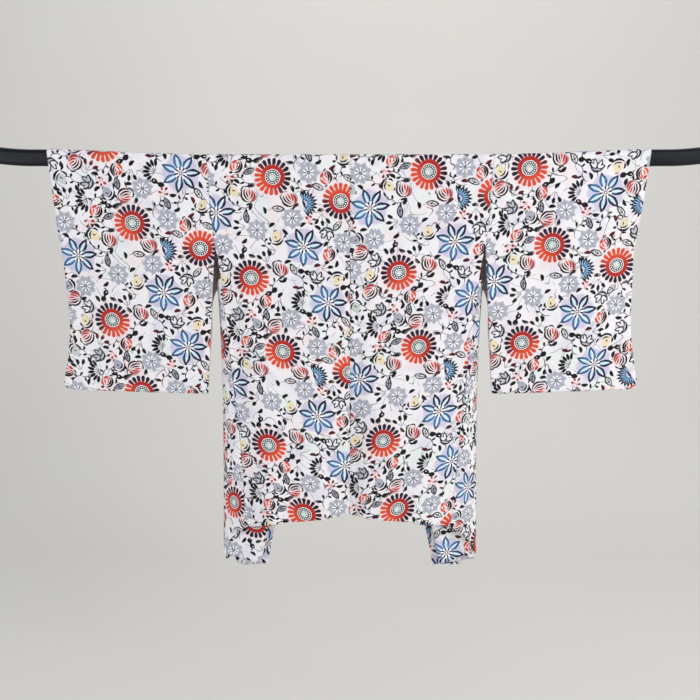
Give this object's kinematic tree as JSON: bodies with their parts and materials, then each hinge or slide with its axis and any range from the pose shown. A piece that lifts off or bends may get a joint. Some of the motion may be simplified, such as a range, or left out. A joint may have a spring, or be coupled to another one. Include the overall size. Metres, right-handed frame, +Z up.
{
  "type": "haori jacket on a rail",
  "caption": "Short open kimono jacket of floral printed crepe with square sleeves, side gussets and a long folded collar, hung over a black lacquered rail with its back to the viewer.",
  "frame": {"origin": "on the rail's axis, halfway along it, where the rail is held", "axes": "+X along the rail towards the jacket's right sleeve as its back is seen, +Y from the jacket's back to its fronts, +Z up"},
  "size_m": [1.5, 0.0936, 0.9664],
  "materials": {
    "printed_silk": "matt crepe silk, off-white with a small floral print in red, blue, grey and black",
    "lacquer": "smooth black lacquer, semi-gloss"
  },
  "bodies": {
    "root": {"rail": "lacquer", "body_left": "printed_silk", "body_right": "printed_silk", "gusset_left": "printed_silk", "gusset_right": "printed_silk", "sleeve_left": "printed_silk", "sleeve_right": "printed_silk", "collar": "printed_silk"}
  },
  "joints": []
}
